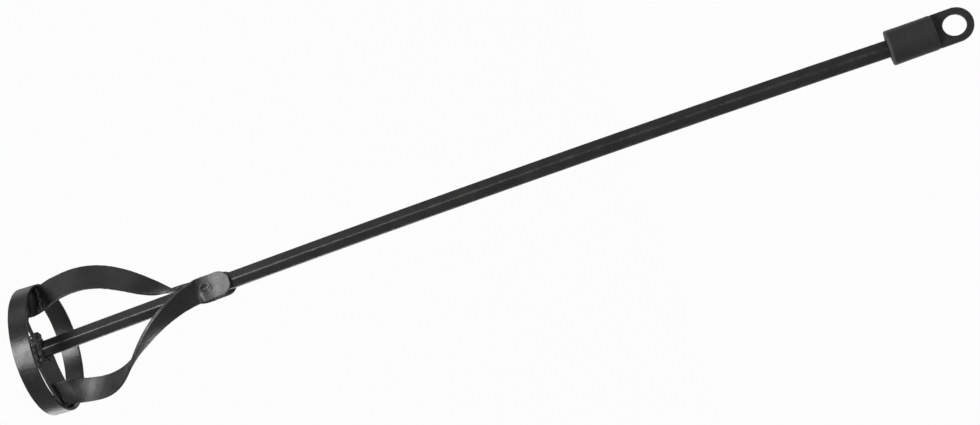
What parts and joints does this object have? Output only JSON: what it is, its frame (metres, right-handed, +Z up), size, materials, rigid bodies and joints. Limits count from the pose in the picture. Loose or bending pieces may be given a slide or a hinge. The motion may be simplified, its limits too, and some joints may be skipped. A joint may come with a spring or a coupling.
{
  "type": "mortar mixing paddle",
  "caption": "Hex-shank stirring paddle: helical strip blades and a twisted cross bar welded into an open ring, with a soft hanging cap pushed over the shank.",
  "frame": {"origin": "centre of the plane the basket ring stands on, on the shaft's axis", "axes": "+Z up the shaft towards the shank; the blades' top ends face -Y and +Y, turned 5.4 degrees; +X to the right of the front blade"},
  "size_m": [0.0822, 0.08, 0.6],
  "materials": {
    "paint_on_steel": "satin",
    "paint_on_weld": "satin",
    "soft_cap": "matte"
  },
  "bodies": {
    "paddle": {"hex_shaft": "paint_on_steel", "ring_band": "paint_on_steel", "ring_seam_weld": "paint_on_weld", "cross_bar": "paint_on_steel", "hub_weld": "paint_on_weld", "bar_end_weld_front": "paint_on_weld", "bar_end_weld_rear": "paint_on_weld", "blade_front": "paint_on_steel", "blade_rear": "paint_on_steel", "plug_weld_front": "paint_on_weld", "plug_weld_rear": "paint_on_weld", "foot_weld_front": "paint_on_weld", "foot_weld_rear": "paint_on_weld", "rim_weld_front": "paint_on_weld", "rim_weld_rear": "paint_on_weld"},
    "cap": {"hang_cap": "soft_cap"}
  },
  "joints": [
    {"name": "cap_pull_off", "type": "slide", "parent": "paddle", "child": "cap", "axis": [0, 0, 1], "range_m": [0, 0.03]}
  ]
}
